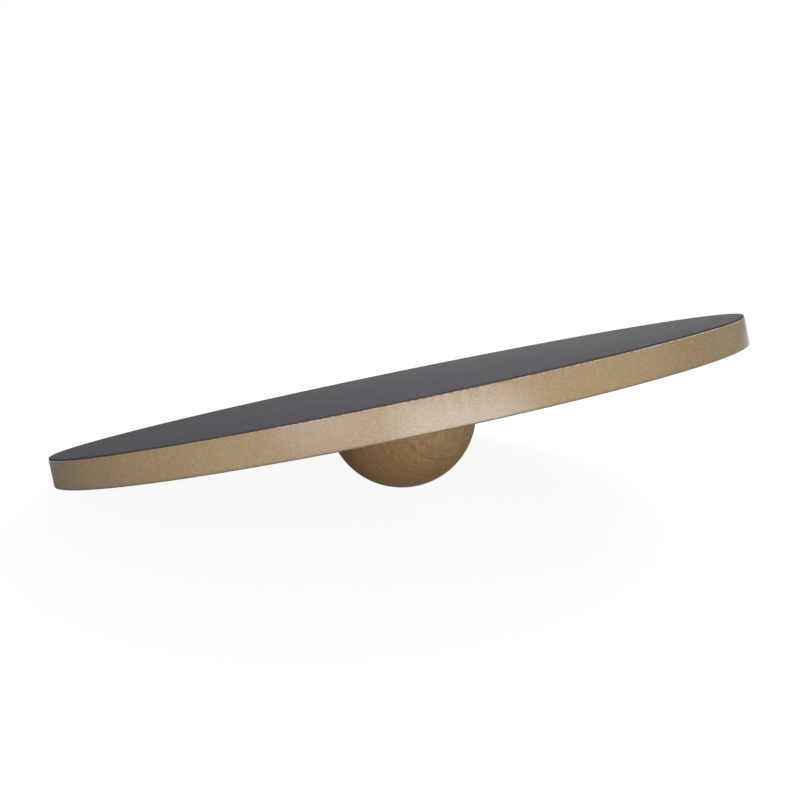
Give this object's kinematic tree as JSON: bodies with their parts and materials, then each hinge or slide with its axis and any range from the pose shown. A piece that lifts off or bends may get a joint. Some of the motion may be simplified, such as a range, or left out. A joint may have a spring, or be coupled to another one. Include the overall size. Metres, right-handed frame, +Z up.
{
  "type": "wobble board",
  "caption": "Round balance board: a flat fibreboard deck with a dark anti-slip cover, fixed on a turned wooden half ball that it rocks and turns on.",
  "frame": {"origin": "the point of the floor under the middle of the board's box, with the board lying at rest on its half ball and on its rim", "axes": "+Z up from the floor, +X from the rim that touches the floor towards the raised rim, +Y across the board, level"},
  "size_m": [0.3922, 0.4, 0.1085],
  "materials": {
    "fibreboard": "clear satin lacquer over fine speckled medium density fibreboard",
    "anti_slip_sheet": "matt, with a very fine even texture",
    "turned_wood": "turned and sanded softwood with open growth rings, clear satin lacquer",
    "zinc_plated_steel": "yellowish zinc plating",
    "beech": "raw, fluted"
  },
  "bodies": {
    "root": {"deck_board": "fibreboard", "anti_slip_cover": "anti_slip_sheet", "rocker_half_ball": "turned_wood", "ball_screw_1": "zinc_plated_steel", "ball_screw_2": "zinc_plated_steel", "ball_screw_3": "zinc_plated_steel", "ball_screw_4": "zinc_plated_steel", "centring_dowel": "beech"}
  },
  "joints": []
}
